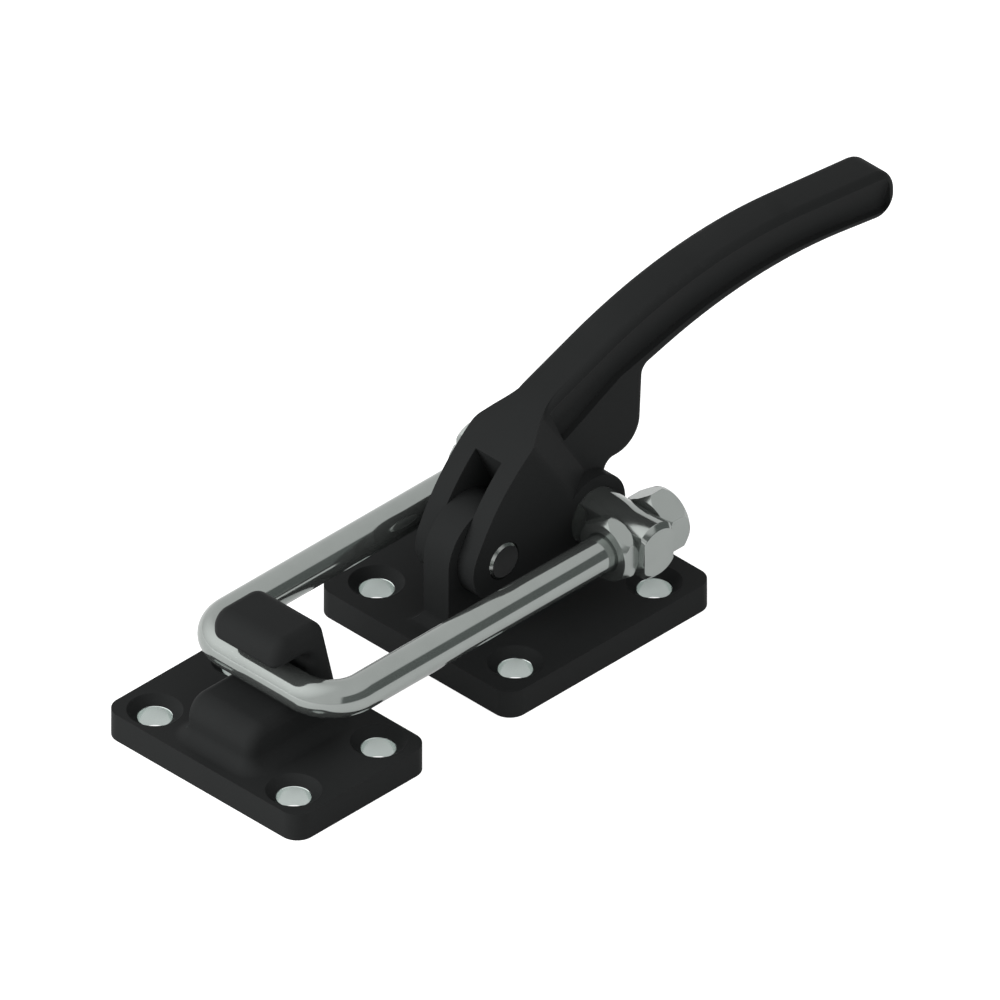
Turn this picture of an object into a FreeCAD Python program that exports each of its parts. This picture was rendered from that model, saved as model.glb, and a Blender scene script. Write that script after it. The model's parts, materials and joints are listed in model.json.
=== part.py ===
import FreeCAD, Part

import math
import os

# Latch toggle clamp: two forged brackets screwed to two surfaces, a lever, and a
# U-bolt that the lever draws back over its centre behind a hook.
# Millimetres. The origin is the centre of the base screw pattern, on the face
# that rests on the work. +X runs from the hook towards the lever's grip, +Z is up.

# Flanges of both forgings
flange_thickness = 8.0
flange_width = 70.0
flange_corner = 5.0
base_length = 74.0
catch_length = 48.0
screw_hole = 9.0
countersink_diameter = 14.6
countersink_depth = 2.3
screw_row_gap = 50.0
base_screw_pitch = 50.0
catch_screw_pitch = 30.5
root_fillet = 4.0

# Linkage: the pivot of the lever, the arm to the cross pin and the bolt's reach
pivot_x = -14.6
pivot_z = 27.0
arm_along = 32.4
arm_drop = 1.8
bolt_reach = 108.0

# Lug of the base
lug_width = 9.0
lug_radius = 14.0

# U-bolt, cross pin and nuts
rod_diameter = 10.0
leg_gap = 47.6
bend_radius = 11.0
cross_pin_diameter = 16.0
pin_beyond_leg = 10.2
cross_pin_chamfer = 1.3
flat_gap = 10.4
flat_start = 10.0
nut_across_flats = 16.0
lock_nut_height = 5.0
nut_height = 8.0
nut_chamfer = 1.14
nut_cone_angle = 30.0
rod_end_beyond_nut = 1.0

# Pivot pin
pivot_pin_diameter = 10.6
pivot_pin_stand = 0.5
pivot_pin_chamfer = 0.8

# Lever
fork_width = 21.0
grip_width = 13.0
fork_end_radius = 11.0
boss_radius = 11.3
grip_edge_round = 2.5
fork_front_angle = 62.0
fork_front_radius = 62.0
shoulder_start = 24.9
shoulder_length = 12.5
shoulder_lean = 33.0
shoulder_start_round = 7.0
shoulder_end_round = 22.0
panel_depth = 2.0
panel_rim = 2.7
panel_top_rim = 0.8
panel_fall = 8.2
panel_root = (25.6, 22.4)
panel_root_height = 14.0
panel_lean = 24.3

# Side view of the lever, measured from its pivot as (along, up)
brow = (2.8, 29.1)
crown = (75.0, 55.7)
crown_radius = 155.0
tip_top = (145.4, 47.8)
tip_top_radius = 7.0
tip_under = (146.0, 33.4)
tip_under_radius = 6.0
hollow = (94.4, 41.1)
hollow_radius = 157.0
slot_top = (4.8, 25.5)
skirt_top = (55.1, 30.6)
skirt_heel = (53.9, 7.8)
skirt_heel_radius = 9.0
skirt_toe = (41.8, 7.6)
inner_corner_radius = 2.5

# Hook, measured from the bar that it holds
hook_width = 24.0
hook_edge_round = 3.0
hook_front = 7.9
hook_back = 9.5
hook_back_slope = 0.24
hook_head_top = 16.85
hook_ceiling = 8.7
hook_lip_radius = 1.8
hook_head_radius = 5.0
hook_throat_radius = 3.5
bar_to_catch_front = 23.4
foot_from_edge = 6.3
foot_radius = 6.3

# Clearances
slide_gap = 0.15
pin_gap = 0.1
lug_round_gap = 0.8
stop_gap = 0.3
bar_gap = 0.25
rod_hole_gap = 0.2
thread_gap = 0.02

# Places that follow
rod_radius = rod_diameter / 2
cross_x = pivot_x + arm_along
cross_z = pivot_z - arm_drop
bar_x = cross_x - bolt_reach
bar_z = cross_z
leg_y = leg_gap / 2
cross_pin_length = leg_gap + 2 * pin_beyond_leg
catch_front_x = bar_x - bar_to_catch_front
catch_x = catch_front_x + catch_length / 2
slot_width = lug_width + 2 * slide_gap


def vector(x, z, y=0.0):
    """A point of a side view, which is drawn in X and Z."""
    return FreeCAD.Vector(x, y, z)


def rounded_wire(corners):
    """A closed outline in X and Z. Each corner is (x, z, radius of its round)."""
    count = len(corners)
    runs = []
    for index in range(count):
        x, z, radius = corners[index]
        here = vector(x, z)
        before = vector(*corners[index - 1][:2]) - here
        after = vector(*corners[(index + 1) % count][:2]) - here
        if radius <= 0:
            runs.append((here, None, here))
            continue
        before.normalize()
        after.normalize()
        half = before.getAngle(after) / 2
        reach = radius / math.tan(half)
        middle = before + after
        middle.normalize()
        inner = here + middle * (radius / math.sin(half) - radius)
        runs.append((here + before * reach, inner, here + after * reach))
    edges = []
    for index in range(count):
        start, inner, end = runs[index]
        if inner is not None:
            edges.append(Part.Arc(start, inner, end).toShape())
        following = runs[(index + 1) % count][0]
        if (following - end).Length > 1e-6:
            edges.append(Part.LineSegment(end, following).toShape())
    return Part.Wire(Part.__sortEdges__(edges))


def slab(corners, width):
    """A side-view outline made as wide as width, half of it each side of Y = 0."""
    face = Part.Face(rounded_wire(corners))
    face.translate(FreeCAD.Vector(0, -width / 2, 0))
    return face.extrude(FreeCAD.Vector(0, width, 0))


def cylinder_y(x, z, radius, length, start=None):
    """A cylinder across the clamp."""
    first = -length / 2 if start is None else start
    return Part.makeCylinder(radius, length, FreeCAD.Vector(x, first, z), FreeCAD.Vector(0, 1, 0))


def cylinder_x(start_x, y, z, radius, length):
    """A cylinder along the clamp."""
    return Part.makeCylinder(radius, length, FreeCAD.Vector(start_x, y, z), FreeCAD.Vector(1, 0, 0))


def edges_where(shape, test):
    """The edges whose middle passes a test and that are not degenerate."""
    found = []
    for edge in shape.Edges:
        if edge.Length < 1e-4:
            continue
        middle = edge.valueAt((edge.FirstParameter + edge.LastParameter) / 2)
        if test(edge, middle):
            found.append(edge)
    return found


def flange(centre_x, length, screw_pitch):
    """A flat forged flange with four countersunk screw holes."""
    corner = FreeCAD.Vector(centre_x - length / 2, -flange_width / 2, 0)
    plate = Part.makeBox(length, flange_width, flange_thickness, corner)
    upright = edges_where(plate, lambda edge, middle: abs(middle.z - flange_thickness / 2) < 1e-6)
    plate = plate.makeFillet(flange_corner, upright)
    for side_x in (-1, 1):
        for side_y in (-1, 1):
            x = centre_x + side_x * screw_pitch / 2
            y = side_y * screw_row_gap / 2
            foot = FreeCAD.Vector(x, y, 0)
            plate = plate.cut(Part.makeCylinder(screw_hole / 2, flange_thickness, foot))
            mouth = FreeCAD.Vector(x, y, flange_thickness - countersink_depth)
            cone = Part.makeCone(screw_hole / 2, countersink_diameter / 2, countersink_depth, mouth)
            plate = plate.cut(cone)
    return plate


def make_base_bracket():
    """Base forging: the flange and the lug that carries the pivot pin."""
    plate = flange(0, base_length, base_screw_pitch)
    bottom = flange_thickness / 2
    front = pivot_x - lug_radius
    back = pivot_x + lug_radius
    lug = slab([(front, bottom, 0), (back, bottom, 0), (back, pivot_z, 0), (front, pivot_z, 0)],
               lug_width)
    lug = lug.fuse(cylinder_y(pivot_x, pivot_z, lug_radius, lug_width))
    body = plate.fuse(lug).removeSplitter()
    root = edges_where(body, lambda edge, middle: abs(middle.z - flange_thickness) < 1e-6
                       and front - 1e-3 <= middle.x <= back + 1e-3
                       and abs(middle.y) <= lug_width / 2 + 1e-3)
    body = body.makeFillet(root_fillet, root)
    bore = pivot_pin_diameter / 2 + pin_gap
    return body.cut(cylinder_y(pivot_x, pivot_z, bore, 2 * lug_width))


def hook_outline():
    """Side view of the hook: foot, lower jaw, groove round the bar, head and back."""
    deck = flange_thickness
    jaw = bar_z - rod_radius - bar_gap
    neck = bar_x + rod_radius + bar_gap
    head_top = bar_z + hook_head_top
    ceiling = bar_z + hook_ceiling
    nose = bar_x - hook_front
    back_top = bar_x + hook_back
    back_foot = back_top + hook_back_slope * (head_top - deck)
    foot = catch_front_x + foot_from_edge
    return [
        (foot, deck, 0),
        (foot, jaw, foot_radius),
        (neck, jaw, rod_radius),
        (neck, ceiling, hook_throat_radius),
        (nose, ceiling, hook_lip_radius),
        (nose, head_top, hook_head_radius),
        (back_top, head_top, hook_head_radius),
        (back_foot, deck, 0),
    ]


def make_catch_bracket():
    """Catch forging: the flange and the hook, which opens away from the lever."""
    plate = flange(catch_x, catch_length, catch_screw_pitch)
    outline = hook_outline()
    foot_front = outline[0]
    foot_back = outline[-1]
    sunk = flange_thickness / 2
    corners = [(foot_front[0], sunk, 0)] + outline + [(foot_back[0], sunk, 0)]
    hook = slab(corners, hook_width)
    sides = edges_where(hook, lambda edge, middle: abs(abs(middle.y) - hook_width / 2) < 1e-6
                        and middle.z > flange_thickness + 1e-3)
    hook = hook.makeFillet(hook_edge_round, sides)
    body = plate.fuse(hook).removeSplitter()
    root = edges_where(body, lambda edge, middle: abs(middle.z - flange_thickness) < 1e-6
                       and foot_front[0] - 1e-3 <= middle.x <= foot_back[0] + 1e-3
                       and abs(middle.y) <= hook_width / 2 + 1e-3)
    return body.makeFillet(root_fillet, root)


def lever_corners():
    """Side view of the lever, measured from its pivot, as corners with rounds."""
    lean = math.radians(fork_front_angle)
    touch_x = -fork_end_radius * math.sin(lean)
    touch_z = fork_end_radius * math.cos(lean)
    arm = math.hypot(arm_along, arm_drop)
    down_x = -arm_drop / arm
    down_z = -arm_along / arm
    return [
        (touch_x, touch_z, 0),
        brow + (fork_front_radius,),
        crown + (crown_radius,),
        tip_top + (tip_top_radius,),
        tip_under + (tip_under_radius,),
        hollow + (hollow_radius,),
        skirt_top + (inner_corner_radius,),
        skirt_heel + (skirt_heel_radius,),
        skirt_toe + (inner_corner_radius,),
        (arm_along + boss_radius * 0.7, -arm_drop, 0),
        (arm_along + boss_radius * down_x, -arm_drop + boss_radius * down_z, 0),
        (fork_end_radius * down_x, fork_end_radius * down_z, 0),
    ]


def at_pivot(corners):
    """Corners measured from the pivot, moved to where the pivot is."""
    return [(pivot_x + x, pivot_z + z, radius) for x, z, radius in corners]


def shoulder_prism():
    """The fork's width seen along the lever's root: it narrows into the grip."""
    half = fork_width / 2
    thin = grip_width / 2 - grip_edge_round * 0.8
    start = shoulder_start
    end = shoulder_start + shoulder_length
    reach = 150.0
    tail = end + 8.0
    near = shoulder_start_round
    far = shoulder_end_round
    corners = [(-reach, -half, 0), (start, -half, near), (end, -thin, far), (tail, -thin, 0),
               (tail, thin, 0), (end, thin, far), (start, half, near), (-reach, half, 0)]
    face = Part.Face(rounded_wire(corners))
    face.rotate(FreeCAD.Vector(), FreeCAD.Vector(1, 0, 0), -90)
    face.translate(FreeCAD.Vector(0, 0, -reach))
    prism = face.extrude(FreeCAD.Vector(0, 0, 2 * reach))
    prism.rotate(FreeCAD.Vector(), FreeCAD.Vector(0, 1, 0), -shoulder_lean)
    prism.translate(FreeCAD.Vector(pivot_x, 0, pivot_z))
    return prism


def panel_corners(drop, under_round):
    """Side view of the grip's panel with its upper side a drop below the crown."""
    rim = panel_rim
    lean = math.radians(panel_lean)
    low_x, low_z = panel_root
    height = panel_root_height - drop / math.cos(lean)
    return [
        (low_x, low_z, 0.6),
        (low_x - height * math.sin(lean), low_z + height * math.cos(lean), 1.0),
        (crown[0], crown[1] - drop, crown_radius - drop),
        (tip_top[0] - rim, tip_top[1] - drop, under_round),
        (tip_under[0] - rim, tip_under[1] + rim, under_round),
        (hollow[0], hollow[1] + rim, hollow_radius + rim),
        (46.0, 32.4, 12.0),
    ]


def panel_cut(side):
    """The hollow forged into one side of the grip: its floor falls inwards from the crown down
    to a ledge above the lower rim, as a forging's draft does."""
    over = 1.0
    rise = over * panel_fall / panel_depth
    outer = rounded_wire(at_pivot(panel_corners(panel_top_rim - rise, 3.0)))
    inner = rounded_wire(at_pivot(panel_corners(panel_top_rim + panel_fall, 1.0)))
    outer.translate(FreeCAD.Vector(0, side * (grip_width / 2 + over), 0))
    inner.translate(FreeCAD.Vector(0, side * (grip_width / 2 - panel_depth), 0))
    return Part.makeLoft([outer, inner], True, True)


def slot_cut():
    """The gap between the fork's cheeks, in which the lug stands at every angle."""
    room = lug_radius + lug_round_gap
    top = slot_top
    distance = math.hypot(*top)
    touch = math.atan2(top[1], top[0]) - math.acos(room / distance)
    touch_x = room * math.cos(touch)
    touch_z = room * math.sin(touch)
    out_x = top[0] - (touch_x - top[0])
    out_z = top[1] - (touch_z - top[1])
    far = 60.0
    wall = lug_radius + stop_gap
    upper = slab(at_pivot([(touch_x, touch_z, 0), (out_x, out_z, 0), (-far, out_z, 0),
                           (-far, 0, 0), (0, 0, 0)]), slot_width)
    lower = slab(at_pivot([(-far, 0, 0), (-far, -far, 0), (wall, -far, 0), (wall, 0, 0)]), slot_width)
    return upper.fuse(lower).fuse(cylinder_y(pivot_x, pivot_z, room, slot_width))


def make_lever():
    """The forged lever: grip, fork, and the boss that carries the cross pin."""
    corners = at_pivot(lever_corners())
    grip = slab(corners, grip_width)
    rim = edges_where(grip, lambda edge, middle: abs(abs(middle.y) - grip_width / 2) < 1e-6
                      and middle.x > cross_x + boss_radius)
    grip = grip.makeFillet(grip_edge_round, rim)
    fork = slab(corners, fork_width).common(shoulder_prism())
    body = grip.fuse(fork)
    body = body.fuse(cylinder_y(pivot_x, pivot_z, fork_end_radius, fork_width))
    body = body.fuse(cylinder_y(cross_x, cross_z, boss_radius, fork_width))
    for side in (-1, 1):
        body = body.cut(panel_cut(side))
    body = body.cut(slot_cut())
    body = body.cut(cylinder_y(pivot_x, pivot_z, pivot_pin_diameter / 2, 2 * fork_width))
    bore = cross_pin_diameter / 2 + pin_gap
    body = body.cut(cylinder_y(cross_x, cross_z, bore, 2 * fork_width))
    return body.removeSplitter()


def make_pivot_pin():
    """The lever's pivot, pressed into both cheeks and turning in the lug."""
    length = fork_width + 2 * pivot_pin_stand
    pin = cylinder_y(pivot_x, pivot_z, pivot_pin_diameter / 2, length)
    ends = edges_where(pin, lambda edge, middle: abs(abs(middle.y) - length / 2) < 1e-6)
    return pin.makeChamfer(pivot_pin_chamfer, ends)


def make_cross_pin():
    """The pin that turns in the lever's boss and is drilled for the bolt's legs."""
    pin = cylinder_y(cross_x, cross_z, cross_pin_diameter / 2, cross_pin_length)
    ends = edges_where(pin, lambda edge, middle: abs(abs(middle.y) - cross_pin_length / 2) < 1e-6)
    pin = pin.makeChamfer(cross_pin_chamfer, ends)
    for side_x in (-1, 1):
        for side_y in (-1, 1):
            low_x = cross_x + (flat_gap / 2 if side_x > 0 else -flat_gap / 2 - cross_pin_diameter)
            low_y = flat_start if side_y > 0 else -flat_start - cross_pin_length
            corner = FreeCAD.Vector(low_x, low_y, cross_z - cross_pin_diameter)
            pin = pin.cut(Part.makeBox(cross_pin_diameter, cross_pin_length, 2 * cross_pin_diameter,
                                       corner))
    hole = rod_radius + rod_hole_gap
    for side_y in (-1, 1):
        start = cross_x - cross_pin_diameter
        pin = pin.cut(cylinder_x(start, side_y * leg_y, cross_z, hole, 2 * cross_pin_diameter))
    return pin


def make_u_bolt():
    """Round bar bent into a U: the cross bar sits in the hook."""
    end_x = cross_x + flat_gap / 2 + nut_height + rod_end_beyond_nut
    bend_x = bar_x + bend_radius
    inner_y = leg_y - bend_radius
    swing = bend_radius * math.sqrt(0.5)
    points = {}
    for side in (-1, 1):
        points[side] = (
            FreeCAD.Vector(end_x, side * leg_y, bar_z),
            FreeCAD.Vector(bend_x, side * leg_y, bar_z),
            FreeCAD.Vector(bend_x - swing, side * (inner_y + swing), bar_z),
            FreeCAD.Vector(bar_x, side * inner_y, bar_z),
        )
    near = points[-1]
    far = points[1]
    path = Part.Wire([
        Part.LineSegment(near[0], near[1]).toShape(),
        Part.Arc(near[1], near[2], near[3]).toShape(),
        Part.LineSegment(near[3], far[3]).toShape(),
        Part.Arc(far[3], far[2], far[1]).toShape(),
        Part.LineSegment(far[1], far[0]).toShape(),
    ])
    ring = Part.makeCircle(rod_radius, near[0], FreeCAD.Vector(1, 0, 0))
    rod = path.makePipeShell([Part.Wire(ring)], True, False)
    ends = edges_where(rod, lambda edge, middle: abs(middle.x - end_x) < 1e-6
                       and isinstance(edge.Curve, Part.Circle))
    return rod.makeChamfer(rod_end_beyond_nut * 0.9, ends)


def make_nut(start_x, side, height):
    """A hexagon nut on one leg, with both ends of its corners turned off to a steep cone."""
    corner_radius = nut_across_flats / math.sqrt(3)
    y = side * leg_y
    ring = []
    for index in range(7):
        angle = math.radians(60 * index + 30)
        ring.append(FreeCAD.Vector(start_x, y + corner_radius * math.cos(angle),
                                   bar_z + corner_radius * math.sin(angle)))
    blank = Part.Face(Part.makePolygon(ring)).extrude(FreeCAD.Vector(height, 0, 0))
    face_radius = corner_radius - nut_chamfer
    slope = nut_chamfer / math.tan(math.radians(nut_cone_angle))
    turned = Part.makeCone(face_radius, face_radius + nut_chamfer, slope,
                           FreeCAD.Vector(start_x, y, bar_z), FreeCAD.Vector(1, 0, 0))
    turned = turned.fuse(cylinder_x(start_x + slope, y, bar_z, corner_radius, height - 2 * slope))
    turned = turned.fuse(Part.makeCone(face_radius + nut_chamfer, face_radius, slope,
                                       FreeCAD.Vector(start_x + height - slope, y, bar_z),
                                       FreeCAD.Vector(1, 0, 0)))
    nut = blank.common(turned)
    return nut.cut(cylinder_x(start_x - 1, y, bar_z, rod_radius + thread_gap, height + 2))


def make_parts():
    """Every piece of the clamp by its name."""
    front_face = cross_x - flat_gap / 2
    rear_face = cross_x + flat_gap / 2
    pieces = {
        "base_bracket": make_base_bracket(),
        "catch_bracket": make_catch_bracket(),
        "lever": make_lever(),
        "pivot_pin": make_pivot_pin(),
        "cross_pin": make_cross_pin(),
        "u_bolt": make_u_bolt(),
    }
    for name, side in (("near", -1), ("far", 1)):
        pieces["lock_nut_" + name] = make_nut(front_face - lock_nut_height, side, lock_nut_height)
        pieces["end_nut_" + name] = make_nut(rear_face, side, nut_height)
    return pieces


def main():
    os.makedirs("parts", exist_ok=True)
    for name, shape in make_parts().items():
        if len(shape.Solids) != 1 or not shape.isValid():
            print("check", name, len(shape.Solids), shape.isValid())
        shape.Solids[0].exportStep("parts/" + name + ".step")
        box = shape.BoundBox
        print(name, round(shape.Volume), [round(v, 2) for v in (box.XMin, box.XMax, box.YMin,
                                                                box.YMax, box.ZMin, box.ZMax)])


main()
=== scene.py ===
import json
import math

import bpy
import numpy as np
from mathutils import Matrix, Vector


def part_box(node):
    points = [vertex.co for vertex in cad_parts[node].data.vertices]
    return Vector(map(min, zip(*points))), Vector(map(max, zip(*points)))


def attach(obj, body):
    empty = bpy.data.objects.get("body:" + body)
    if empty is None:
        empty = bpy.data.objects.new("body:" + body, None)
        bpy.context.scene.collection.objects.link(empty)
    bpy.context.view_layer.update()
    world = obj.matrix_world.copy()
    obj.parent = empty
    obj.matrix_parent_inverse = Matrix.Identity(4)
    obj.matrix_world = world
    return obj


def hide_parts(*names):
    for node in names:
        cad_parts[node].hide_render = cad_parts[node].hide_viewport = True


# Latch toggle clamp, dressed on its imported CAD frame. Metres, in the frame's own axes:
# +X runs from the hook towards the grip, +Z is up, and Y = 0 halves the clamp.

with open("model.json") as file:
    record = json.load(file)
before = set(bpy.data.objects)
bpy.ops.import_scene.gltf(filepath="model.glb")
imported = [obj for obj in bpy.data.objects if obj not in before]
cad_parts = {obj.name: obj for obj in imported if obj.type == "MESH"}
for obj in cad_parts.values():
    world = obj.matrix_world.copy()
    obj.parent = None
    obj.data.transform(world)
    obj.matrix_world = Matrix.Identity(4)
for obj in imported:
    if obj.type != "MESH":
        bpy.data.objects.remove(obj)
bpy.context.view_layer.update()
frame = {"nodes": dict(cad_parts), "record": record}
MM = 0.001

# Places read from the frame
BAR_LOW, BAR_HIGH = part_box("u_bolt")
CROSS_LOW, CROSS_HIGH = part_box("cross_pin")
PIVOT_LOW, PIVOT_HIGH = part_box("pivot_pin")
ROD_RADIUS = (BAR_HIGH.z - BAR_LOW.z) / 2
LEG_Y = BAR_HIGH.y - ROD_RADIUS
BAR_X = BAR_LOW.x + ROD_RADIUS
BAR_Z = (BAR_HIGH.z + BAR_LOW.z) / 2
LEG_END_X = BAR_HIGH.x
CROSS_X = (CROSS_LOW.x + CROSS_HIGH.x) / 2
CROSS_RADIUS = (CROSS_HIGH.x - CROSS_LOW.x) / 2
CROSS_HALF = CROSS_HIGH.y
PIVOT_X = (PIVOT_LOW.x + PIVOT_HIGH.x) / 2
PIVOT_Z = (PIVOT_LOW.z + PIVOT_HIGH.z) / 2
PIVOT_RADIUS = (PIVOT_HIGH.x - PIVOT_LOW.x) / 2
PIVOT_HALF = PIVOT_HIGH.y
MOUNTS = {mount["name"]: mount for mount in frame["record"]["mounts"]}

# Sizes of the bought steel parts
BEND_RADIUS = 11 * MM
ROD_END_CHAMFER = 0.9 * MM
THREAD_PITCH = 1.5 * MM
THREAD_DEPTH = 0.55 * MM
THREAD_LENGTH = 24 * MM
FLAT_HALF = 5.2 * MM
FLAT_START = 10.0 * MM
CROSS_CHAMFER = 1.3 * MM
PIVOT_CHAMFER = 0.8 * MM
NUT_FLATS = 16 * MM
NUT_CHAMFER = 1.14 * MM
NUT_MOUTH = 0.6 * MM

# How finely they are drawn
ROUND_STEPS = 96
BEND_STEPS = 25
STEPS_PER_THREAD = 10
LEG_STEPS = 8
BAR_STEPS = 7
PIN_FLAT_STEPS = 14
PIN_ROUND_STEPS = 10
NUT_SIDE_STEPS = 24

# How their edges are finished, with the creases in degrees
CREASE = 30
NUT_CREASE = 20
WORN_EDGE = 0.12 * MM
WELD_REACH = 0.002 * MM
FLATS_WEIGHT = 90

# Roughness, from the smoothest places to the roughest
DRAWN_ROUGHNESS = (0.08, 0.13)
TURNED_ROUGHNESS = (0.18, 0.25)
COAT_ROUGHNESS = (0.46, 0.58)
DRILLED_ROUGHNESS = 0.22

# The room, where 1 is white: its dim and its bright side, and the way to the bright one
DIM_SIDE = 0.38
BRIGHT_SIDE = 1.6
TO_BRIGHT_SIDE = (-0.3, -0.87, 0.39)

# What the steel mirrors in it: a window beyond the hook, and a dark opening on the right
ROOM_MIRRORED = 0.88
WINDOW_MIRRORED = 1.55
WINDOW_EDGE = 0.6
TO_WINDOW = (-0.45, 0.58, 0.68)
OPENING_COLOUR = (0.12, 0.136, 0.131, 1)
OPENING_FOOT = (0.01, 0.04)
OPENING_HEAD = (0.66, 0.62)
OPENING_SIDE = (0.25, 0.35)
TO_RIGHT = (0.7071, -0.7071, 0)

# The floor: its half width, how far it lies below the feet, and its glow for each kind of ray
FLOOR_REACH = 3.0
FLOOR_DROP = 0.05 * MM
FLOOR_SEEN = 0.8
FLOOR_MIRRORED = 0.36

LAMP_PLACE = (-0.98, 0.5, 0.42)
LAMP_AIM = (0, 0, 0.03)
LAMP_WIDTH = 0.8
LAMP_WATTS = 15.5

VIEW_WIDTH = 0.2547
VIEW_CENTRE = (-5.55 * MM, 0, 36.2 * MM)
VIEW_DIRECTION = (1, 1, -1)
VIEW_DISTANCE = 0.9

# Sockets of the Mix node: the factor, two numbers, two colours, and the mixed colour
FACTOR = 0
NUMBER_A, NUMBER_B = 2, 3
COLOUR_A, COLOUR_B = 6, 7
COLOUR_OUT = 2


def linear(code):
    """A colour written as an sRGB hex value, as linear RGBA."""
    values = [int(code[i:i + 2], 16) / 255 for i in (1, 3, 5)]
    curve = [v / 12.92 if v <= 0.04045 else ((v + 0.055) / 1.055) ** 2.4 for v in values]
    return (*curve, 1.0)


def link(tree, node, sources):
    """Feeds each named input of a node from its source."""
    for socket, source in sources.items():
        tree.links.new(source, node.inputs[socket])


def add(tree, kind, values=None, links=None, **settings):
    """Adds one node with its settings, its fixed inputs and what feeds its other inputs."""
    node = tree.nodes.new(kind)
    for name, value in settings.items():
        setattr(node, name, value)
    for socket, value in (values or {}).items():
        node.inputs[socket].default_value = value
    link(tree, node, links or {})
    return node


def start_material(name):
    """A new material, with its tree, its shader and the place on the object."""
    material = bpy.data.materials.new(name)
    material.use_nodes = True
    tree = material.node_tree
    place = add(tree, "ShaderNodeTexCoord").outputs["Object"]
    return material, tree, tree.nodes["Principled BSDF"], place


def surface_from_grid(name, points, closed_u=False, closed_v=False):
    """A mesh from a grid of points [u, v, xyz]: neighbours in u and v span its quads."""
    rows, columns = points.shape[:2]
    u = np.arange(rows if closed_u else rows - 1)
    v = np.arange(columns if closed_v else columns - 1)
    here = u[:, None] * columns + v[None, :]
    right = u[:, None] * columns + (v[None, :] + 1) % columns
    below = ((u[:, None] + 1) % rows) * columns + v[None, :]
    across = ((u[:, None] + 1) % rows) * columns + (v[None, :] + 1) % columns
    quads = np.stack([here, below, across, right], axis=-1).reshape(-1, 4)
    mesh = bpy.data.meshes.new(name)
    mesh.from_pydata(points.reshape(-1, 3).tolist(), [], quads.tolist())
    piece = bpy.data.objects.new(name, mesh)
    bpy.context.scene.collection.objects.link(piece)
    return piece


def finish_steel(piece, material, crease=CREASE, edge=0.0):
    """Welds poles and seams, smooths what isn't a crease, and rounds the creases a little. Flats
    beside a rounded crease keep their own normals."""
    weld = piece.modifiers.new("weld", "WELD")
    weld.merge_threshold = WELD_REACH
    if edge:
        bevel = piece.modifiers.new("worn_edges", "BEVEL")
        bevel.width = edge
        bevel.segments = 2
        bevel.limit_method = "ANGLE"
        bevel.angle_limit = math.radians(crease)
    split = piece.modifiers.new("creases", "EDGE_SPLIT")
    split.split_angle = math.radians(crease)
    split.use_edge_sharp = False
    if edge:
        flats = piece.modifiers.new("true_flats", "WEIGHTED_NORMAL")
        flats.weight = FLATS_WEIGHT
    piece.data.polygons.foreach_set("use_smooth", np.ones(len(piece.data.polygons), bool))
    piece.data.materials.clear()
    piece.data.materials.append(material)


def make_u_bolt():
    """Round bar bent into a U. A ring of radius r is carried along leg, bend, bar, bend and leg:
    point = centre(s) + r(s, a) * (cos a * side(s) + sin a * up). On the threaded ends
    r = rod radius - depth * triangle wave of (x / pitch - a / turn)."""
    turns = np.linspace(0, math.pi / 2, BEND_STEPS)
    plain_from = LEG_END_X - THREAD_LENGTH
    thread_steps = int(THREAD_LENGTH / THREAD_PITCH * STEPS_PER_THREAD)
    thread = np.linspace(LEG_END_X, plain_from, thread_steps)
    straight = np.linspace(plain_from, BAR_X + BEND_RADIUS, LEG_STEPS)[1:-1]
    leg_x = np.concatenate([thread, straight])
    inner = LEG_Y - BEND_RADIUS
    # each row of the path is x, y and the angle that it has turned
    near_leg = np.stack([leg_x, np.full_like(leg_x, -LEG_Y), np.zeros_like(leg_x)], 1)
    near_bend = np.stack([BAR_X + BEND_RADIUS * (1 - np.sin(turns)),
                          -inner - BEND_RADIUS * np.cos(turns), turns], 1)
    bar_y = np.linspace(-inner, 0, BAR_STEPS)[1:]
    bar = np.stack([np.full_like(bar_y, BAR_X), bar_y, np.full_like(bar_y, math.pi / 2)], 1)
    half = np.concatenate([near_leg, near_bend, bar])
    other = half[::-1][1:] * np.array([1, -1, -1]) + np.array([0, 0, math.pi])
    path = np.concatenate([half, other])
    angle = np.linspace(0, 2 * math.pi, ROUND_STEPS, endpoint=False)
    wave = path[:, :1] / THREAD_PITCH - angle[None, :] / (2 * math.pi)
    tooth = np.abs((wave % 1.0) * 2 - 1)
    from_end = LEG_END_X - path[:, :1]
    # the thread runs out over its last two turns
    fade = np.clip((THREAD_LENGTH - from_end) / (2 * THREAD_PITCH), 0, 1)
    radius = ROD_RADIUS - THREAD_DEPTH * tooth * fade
    radius = np.minimum(radius, ROD_RADIUS - np.clip(ROD_END_CHAMFER - from_end, 0, 1))
    side = np.stack([np.sin(path[:, 2]), np.cos(path[:, 2]), np.zeros(len(path))], 1)
    rings = np.zeros((len(path), len(angle), 3))
    rings[..., 0] = path[:, :1]
    rings[..., 1] = path[:, 1:2]
    rings[..., 2] = BAR_Z
    rings -= radius[..., None] * np.cos(angle)[None, :, None] * side[:, None, :]
    rings[..., 2] += radius * np.sin(angle)[None, :]
    first = np.broadcast_to(np.array([LEG_END_X, -LEG_Y, BAR_Z]), (1, len(angle), 3))
    last = np.broadcast_to(np.array([LEG_END_X, LEG_Y, BAR_Z]), (1, len(angle), 3))
    return surface_from_grid("u_bolt_bar", np.concatenate([first, rings, last]), closed_v=True)


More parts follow.
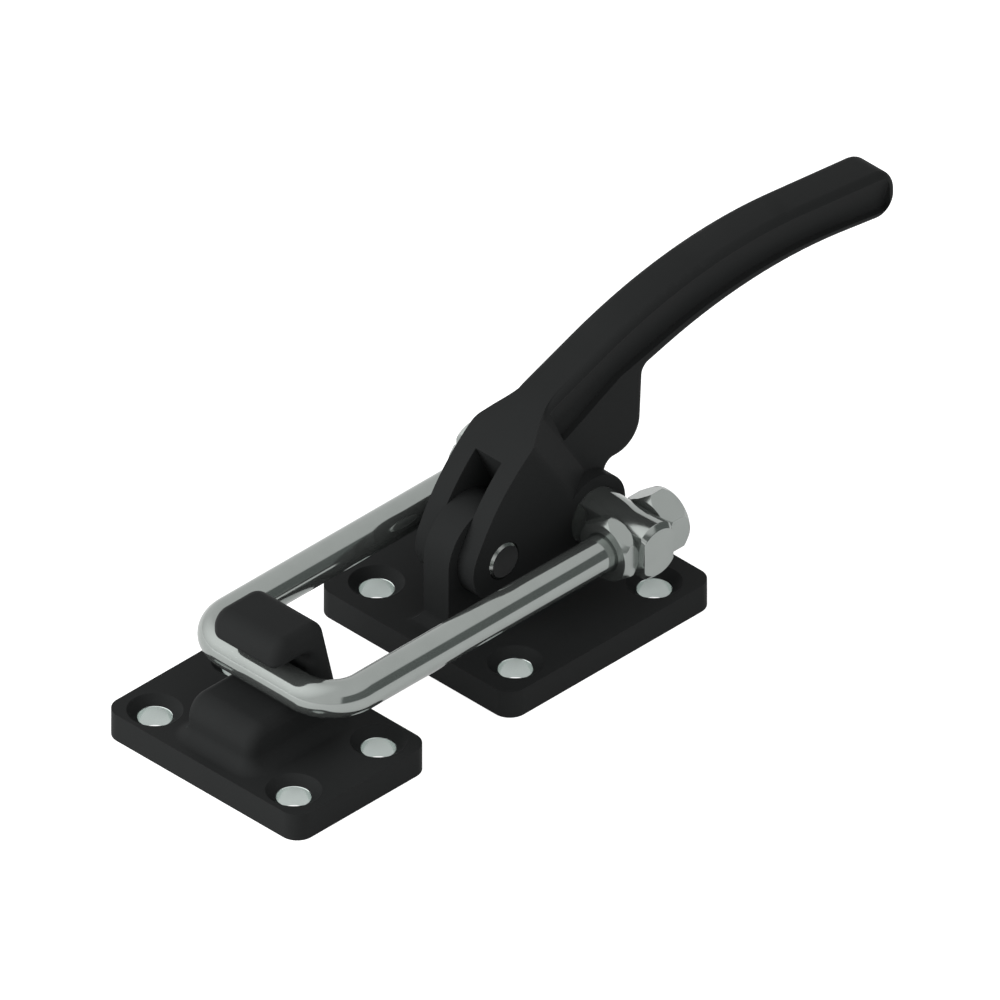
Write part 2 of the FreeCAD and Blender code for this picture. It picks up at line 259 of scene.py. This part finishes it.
def turn_about_y(name, centre_x, centre_z, angle, half_y, half_radius):
    """A pin turned about an axis along Y, from its outer end to its middle and mirrored:
    point = (centre x + r cos a, y, centre z + r sin a)."""
    rows_y = np.concatenate([-half_y, half_y[::-1]])
    radius = np.concatenate([half_radius, half_radius[::-1]])
    points = np.stack([centre_x + radius * np.cos(angle)[None, :],
                       np.broadcast_to(rows_y[:, None], radius.shape),
                       centre_z + radius * np.sin(angle)[None, :]], axis=-1)
    return surface_from_grid(name, points, closed_v=True)


def make_cross_pin():
    """Round pin with flats at both ends. Around the axis r(a) = R in the middle, and
    r(a) = min(R, flat / |cos a|) beyond the shoulders; each end is chamfered."""
    corner = math.acos(FLAT_HALF / CROSS_RADIUS)
    quarter = np.concatenate([np.linspace(0, corner, PIN_FLAT_STEPS),
                              np.linspace(corner, math.pi / 2, PIN_ROUND_STEPS)[1:]])
    half = np.concatenate([quarter, math.pi - quarter[::-1][1:]])
    angle = np.concatenate([half, math.pi + half[1:-1]])
    # kept finite where the flats never end
    flat = FLAT_HALF / np.maximum(np.abs(np.cos(angle)), 1e-6)
    ends = np.array([CROSS_HALF, CROSS_HALF, CROSS_HALF - CROSS_CHAMFER, FLAT_START, FLAT_START])
    caps = np.array([0, CROSS_RADIUS - CROSS_CHAMFER, CROSS_RADIUS, CROSS_RADIUS, CROSS_RADIUS])
    clipped = np.array([True, True, True, True, False])
    radius = np.where(clipped[:, None], np.minimum(caps[:, None], flat[None, :]), caps[:, None])
    return turn_about_y("cross_pin_turned", CROSS_X, BAR_Z, angle, ends, radius)


def make_pivot_pin():
    """Headless pin: r runs over y as cap, chamfer and shank."""
    angle = np.linspace(0, 2 * math.pi, ROUND_STEPS, endpoint=False)
    ends = np.array([PIVOT_HALF, PIVOT_HALF, PIVOT_HALF - PIVOT_CHAMFER])
    caps = np.array([0, PIVOT_RADIUS - PIVOT_CHAMFER, PIVOT_RADIUS])
    radius = np.broadcast_to(caps[:, None], (len(caps), len(angle)))
    return turn_about_y("pivot_pin_turned", PIVOT_X, PIVOT_Z, angle, ends, radius)


def make_nut(node):
    """Hexagon nut. Around the axis hex(a) = apothem / cos(a folded into one flat), and each end
    is turned to a steep cone, which meets the flats at depth (hex(a) - face) * sqrt 3."""
    low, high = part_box(node)
    side = math.copysign(LEG_Y, low.y + high.y)
    corner = NUT_FLATS / math.sqrt(3)
    face = corner - NUT_CHAMFER
    angle = np.linspace(0, 2 * math.pi, 6 * NUT_SIDE_STEPS, endpoint=False)
    folded = (angle + math.pi / 6) % (math.pi / 3) - math.pi / 6
    hexagon = NUT_FLATS / 2 / np.cos(folded)
    depth = np.maximum(hexagon - face, 0) * math.sqrt(3)
    one = np.ones_like(angle)
    mouth = ROD_RADIUS + NUT_MOUTH
    length = high.x - low.x
    along = [0 * one, 0 * one, depth, length - depth, length * one, length * one,
             (length - NUT_MOUTH) * one, NUT_MOUTH * one]
    outward = [mouth * one, face * one, hexagon, hexagon, face * one, mouth * one,
               ROD_RADIUS * one, ROD_RADIUS * one]
    x = low.x + np.stack(along)
    radius = np.stack(outward)
    points = np.stack([x, side + radius * np.cos(angle), BAR_Z + radius * np.sin(angle)], axis=-1)
    return surface_from_grid(node + "_hexagon", points, closed_u=True, closed_v=True)


def bright_steel(name, roughness):
    """Bright zinc-plated steel: a soft grey mirror, faintly green, whose roughness varies a little
    from place to place between two values."""
    material, tree, shader, place = start_material(name)
    smooth, rough = roughness
    # clouds of 6 mm, the size of the plating's haze
    haze = add(tree, "ShaderNodeTexNoise", {"Scale": 1 / (6 * MM), "Detail": 3.0}, {"Vector": place})
    tint = add(tree, "ShaderNodeMix", {COLOUR_A: linear("#989d9a"), COLOUR_B: linear("#a0a5a2")},
               {FACTOR: haze.outputs["Fac"]}, data_type="RGBA")
    gloss = add(tree, "ShaderNodeMapRange", {"To Min": smooth, "To Max": rough},
                {"Value": haze.outputs["Fac"]})
    # tumbling marks of 0.4 mm, hardly raised
    marks = add(tree, "ShaderNodeTexNoise", {"Scale": 1 / (0.4 * MM), "Detail": 2.0},
                {"Vector": place})
    relief = add(tree, "ShaderNodeBump", {"Strength": 0.05, "Distance": 0.02 * MM},
                 {"Height": marks.outputs["Fac"]})
    link(tree, shader, {"Base Color": tint.outputs[COLOUR_OUT],
                        "Roughness": gloss.outputs["Result"],
                        "Normal": relief.outputs["Normal"]})
    # the plating's haze scatters a tenth of the light
    shader.inputs["Metallic"].default_value = 0.9
    return material


def dark_pin():
    """Blackened steel pin, ground on its ends: dark, with the bare steel of its chamfer bright."""
    material, tree, shader, place = start_material("blackened_steel_pin")
    centred = add(tree, "ShaderNodeMapping", {"Location": (-PIVOT_X, 0, -PIVOT_Z)},
                  {"Vector": place})
    flat = add(tree, "ShaderNodeVectorMath", {1: (1, 0, 1)}, {0: centred.outputs[0]},
               operation="MULTIPLY")
    reach = add(tree, "ShaderNodeVectorMath", None, {0: flat.outputs[0]}, operation="LENGTH")
    # the bare ring starts just inside the chamfer's edge
    ring = add(tree, "ShaderNodeMath", {1: PIVOT_RADIUS - PIVOT_CHAMFER - 0.05 * MM},
               {0: reach.outputs["Value"]}, operation="GREATER_THAN")
    # grinding rings 0.69 mm apart, drawn coarser than real ones so that they can show; a wave of
    # scale 1 turns 20 radians per metre
    rings = add(tree, "ShaderNodeTexWave",
                {"Scale": 2 * math.pi / 20 / (0.69 * MM), "Distortion": 0.4},
                {"Vector": centred.outputs[0]}, wave_type="RINGS", rings_direction="Y")
    relief = add(tree, "ShaderNodeBump", {"Strength": 0.12, "Distance": 0.01 * MM},
                 {"Height": rings.outputs["Fac"]})
    colour = add(tree, "ShaderNodeMix", {COLOUR_A: linear("#282929"), COLOUR_B: linear("#a2a5a3")},
                 {FACTOR: ring.outputs[0]}, data_type="RGBA")
    rough = add(tree, "ShaderNodeMix", {NUMBER_A: 0.42, NUMBER_B: 0.2},
                {FACTOR: ring.outputs[0]}, data_type="FLOAT")
    link(tree, shader, {"Base Color": colour.outputs[COLOUR_OUT],
                        "Roughness": rough.outputs[0],
                        "Metallic": ring.outputs[0],
                        "Normal": relief.outputs["Normal"]})
    return material


def black_forging(name, pattern=None):
    """Drop-forged steel, shot-blasted and coated satin black: even, with a fine grain under the
    coat. Where a screw pattern is given, the drilled holes below the countersinks are bare."""
    material, tree, shader, place = start_material(name)
    smooth, rough = COAT_ROUGHNESS
    # patches of 14 mm where the coat is thicker, and shot-blast grain of 0.5 mm
    patches = add(tree, "ShaderNodeTexNoise", {"Scale": 1 / (14 * MM), "Detail": 3.0},
                  {"Vector": place})
    grain = add(tree, "ShaderNodeTexNoise", {"Scale": 1 / (0.5 * MM), "Detail": 4.0,
                                             "Roughness": 0.6}, {"Vector": place})
    coat = add(tree, "ShaderNodeMix", {COLOUR_A: linear("#1f2020"), COLOUR_B: linear("#222323")},
               {FACTOR: patches.outputs["Fac"]}, data_type="RGBA")
    satin = add(tree, "ShaderNodeMapRange", {"To Min": smooth, "To Max": rough},
                {"Value": patches.outputs["Fac"]})
    relief = add(tree, "ShaderNodeBump", {"Strength": 0.22, "Distance": 0.05 * MM},
                 {"Height": grain.outputs["Fac"]})
    colour, gloss = coat.outputs[COLOUR_OUT], satin.outputs["Result"]
    if pattern:
        centre_x = pattern["pos_m"][0]
        half_x = pattern["dims"]["spacing_x_mm"] * MM / 2
        half_y = pattern["dims"]["spacing_y_mm"] * MM / 2
        wall = pattern["dims"]["hole_r_mm"] * MM
        # the four holes fold onto one, and the distance from its axis tells wall from face
        centred = add(tree, "ShaderNodeMapping", {"Location": (-centre_x, 0, 0)}, {"Vector": place})
        folded = add(tree, "ShaderNodeVectorMath", None, {0: centred.outputs[0]},
                     operation="ABSOLUTE")
        moved = add(tree, "ShaderNodeVectorMath", {1: (half_x, half_y, 0)}, {0: folded.outputs[0]},
                    operation="SUBTRACT")
        level = add(tree, "ShaderNodeVectorMath", {1: (1, 1, 0)}, {0: moved.outputs[0]},
                    operation="MULTIPLY")
        reach = add(tree, "ShaderNodeVectorMath", None, {0: level.outputs[0]}, operation="LENGTH")
        # the bare steel reaches 0.12 mm past the wall, on to the countersink's edge
        bare = add(tree, "ShaderNodeMath", {1: wall + 0.12 * MM}, {0: reach.outputs["Value"]},
                   operation="LESS_THAN")
        mixed = add(tree, "ShaderNodeMix", {COLOUR_B: linear("#dde5e2")},
                    {FACTOR: bare.outputs[0], COLOUR_A: colour}, data_type="RGBA")
        drilled = add(tree, "ShaderNodeMix", {NUMBER_B: DRILLED_ROUGHNESS},
                      {FACTOR: bare.outputs[0], NUMBER_A: gloss}, data_type="FLOAT")
        link(tree, shader, {"Metallic": bare.outputs[0]})
        colour, gloss = mixed.outputs[COLOUR_OUT], drilled.outputs[0]
    link(tree, shader, {"Base Color": colour,
                        "Roughness": gloss,
                        "Normal": relief.outputs["Normal"]})
    # a pigmented coat that hardly shines
    shader.inputs["Specular IOR Level"].default_value = 0.035
    return material


def make_floor():
    """A plain pale floor. Seen directly it is white, the steel mirrors it a little darker, and it
    keeps a faint shadow."""
    corner = np.array([-FLOOR_REACH, FLOOR_REACH])
    x, y = np.meshgrid(corner, corner, indexing="ij")
    floor = surface_from_grid("floor", np.stack([x, y, np.full_like(x, -FLOOR_DROP)], axis=-1))
    material = bpy.data.materials.new("pale_floor")
    material.use_nodes = True
    tree = material.node_tree
    tree.nodes.remove(tree.nodes["Principled BSDF"])
    ray = add(tree, "ShaderNodeLightPath")
    seen = add(tree, "ShaderNodeMath", {1: FLOOR_SEEN}, {0: ray.outputs["Is Camera Ray"]},
               operation="MULTIPLY")
    level = add(tree, "ShaderNodeMath", {1: FLOOR_MIRRORED},
                {0: ray.outputs["Is Glossy Ray"], 2: seen.outputs[0]}, operation="MULTIPLY_ADD")
    glow = add(tree, "ShaderNodeEmission", {"Color": linear("#ffffff")},
               {"Strength": level.outputs[0]})
    matt = add(tree, "ShaderNodeBsdfDiffuse", {"Color": linear("#c4c4c4")})
    both = add(tree, "ShaderNodeAddShader", None, {0: glow.outputs[0], 1: matt.outputs[0]})
    link(tree, tree.nodes["Material Output"], {"Surface": both.outputs[0]})
    floor.data.materials.append(material)


def make_world():
    """A white room, brighter on one side. What is glossy also mirrors a window beyond the hook
    and one dark opening on the right."""
    world = bpy.data.worlds.new("studio")
    world.use_nodes = True
    bpy.context.scene.world = world
    tree = world.node_tree
    tree.nodes.clear()
    toward = add(tree, "ShaderNodeTexCoord").outputs["Generated"]
    height = add(tree, "ShaderNodeSeparateXYZ", None, {0: toward}).outputs["Z"]
    right = add(tree, "ShaderNodeVectorMath", {1: TO_RIGHT}, {0: toward},
                operation="DOT_PRODUCT").outputs["Value"]
    limits = [(OPENING_FOOT, height), (OPENING_HEAD, height), (OPENING_SIDE, right)]
    foot, head, side = [add(tree, "ShaderNodeMapRange", {"From Min": outside, "From Max": inside},
                            {"Value": measure}) for (outside, inside), measure in limits]
    band = add(tree, "ShaderNodeMath", None, {0: foot.outputs[0], 1: head.outputs[0]},
               operation="MULTIPLY")
    opening = add(tree, "ShaderNodeMath", None, {0: band.outputs[0], 1: side.outputs[0]},
                  operation="MULTIPLY")
    beyond = add(tree, "ShaderNodeVectorMath", {1: TO_WINDOW}, {0: toward},
                 operation="DOT_PRODUCT").outputs["Value"]
    window = add(tree, "ShaderNodeMapRange", {"From Min": WINDOW_EDGE, "To Min": ROOM_MIRRORED,
                                              "To Max": WINDOW_MIRRORED}, {"Value": beyond})
    mirrored = add(tree, "ShaderNodeMix", {COLOUR_B: OPENING_COLOUR},
                   {FACTOR: opening.outputs[0], COLOUR_A: window.outputs["Result"]},
                   data_type="RGBA")
    ray = add(tree, "ShaderNodeLightPath")
    glossy = add(tree, "ShaderNodeMath", None, {0: ray.outputs["Is Glossy Ray"],
                                                1: ray.outputs["Is Transmission Ray"]},
                 operation="MAXIMUM")
    front = add(tree, "ShaderNodeVectorMath", {1: TO_BRIGHT_SIDE}, {0: toward},
                operation="DOT_PRODUCT").outputs["Value"]
    sided = add(tree, "ShaderNodeMapRange", {"To Min": DIM_SIDE, "To Max": BRIGHT_SIDE},
                {"Value": front})
    plain = add(tree, "ShaderNodeMix", None,
                {FACTOR: glossy.outputs[0], COLOUR_A: sided.outputs["Result"],
                 COLOUR_B: mirrored.outputs[COLOUR_OUT]}, data_type="RGBA")
    shown = add(tree, "ShaderNodeMix", {COLOUR_B: (1, 1, 1, 1)},
                {FACTOR: ray.outputs["Is Camera Ray"], COLOUR_A: plain.outputs[COLOUR_OUT]},
                data_type="RGBA")
    sky = add(tree, "ShaderNodeBackground", None, {"Color": shown.outputs[COLOUR_OUT]})
    out = add(tree, "ShaderNodeOutputWorld")
    link(tree, out, {"Surface": sky.outputs[0]})


def make_lamp():
    """A square soft box, which the steel doesn't mirror."""
    light = bpy.data.lights.new("soft_box_beyond_hook", "AREA")
    light.size = LAMP_WIDTH
    light.energy = LAMP_WATTS
    lamp = bpy.data.objects.new("soft_box_beyond_hook", light)
    lamp.visible_glossy = False
    lamp.location = LAMP_PLACE
    look = Vector(LAMP_AIM) - Vector(LAMP_PLACE)
    lamp.rotation_euler = look.to_track_quat("-Z", "Y").to_euler()
    bpy.context.scene.collection.objects.link(lamp)


def make_camera():
    """A parallel view down the cube's diagonal, as on an isometric drawing."""
    lens = bpy.data.cameras.new("camera")
    lens.type = "ORTHO"
    lens.ortho_scale = VIEW_WIDTH
    look = Vector(VIEW_DIRECTION).normalized()
    camera = bpy.data.objects.new("camera", lens)
    camera.location = Vector(VIEW_CENTRE) - look * VIEW_DISTANCE
    camera.rotation_euler = look.to_track_quat("-Z", "Y").to_euler()
    bpy.context.scene.collection.objects.link(camera)
    bpy.context.scene.camera = camera


def main():
    bpy.context.scene.view_settings.view_transform = "Standard"
    make_camera()
    make_world()
    make_floor()
    make_lamp()

    forgings = {
        "base_bracket": black_forging("black_coated_base_forging", MOUNTS["base_screws"]),
        "catch_bracket": black_forging("black_coated_catch_forging", MOUNTS["catch_screws"]),
        "lever": black_forging("black_coated_lever_forging"),
    }
    for node, material in forgings.items():
        finish_steel(frame["nodes"][node], material)

    drawn = bright_steel("bright_drawn_steel", DRAWN_ROUGHNESS)
    turned = bright_steel("bright_turned_steel", TURNED_ROUGHNESS)
    new_pieces = {
        "u_bolt": make_u_bolt(),
        "cross_pin": make_cross_pin(),
        "lock_nut_near": make_nut("lock_nut_near"),
        "lock_nut_far": make_nut("lock_nut_far"),
        "end_nut_near": make_nut("end_nut_near"),
        "end_nut_far": make_nut("end_nut_far"),
    }
    for node, piece in new_pieces.items():
        if "nut" in node:
            finish_steel(piece, turned, crease=NUT_CREASE, edge=WORN_EDGE)
        else:
            finish_steel(piece, drawn, edge=0 if node == "u_bolt" else WORN_EDGE)
        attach(piece, "latch")
        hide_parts(node)

    pin = make_pivot_pin()
    finish_steel(pin, dark_pin())
    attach(pin, "handle")
    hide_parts("pivot_pin")


main()
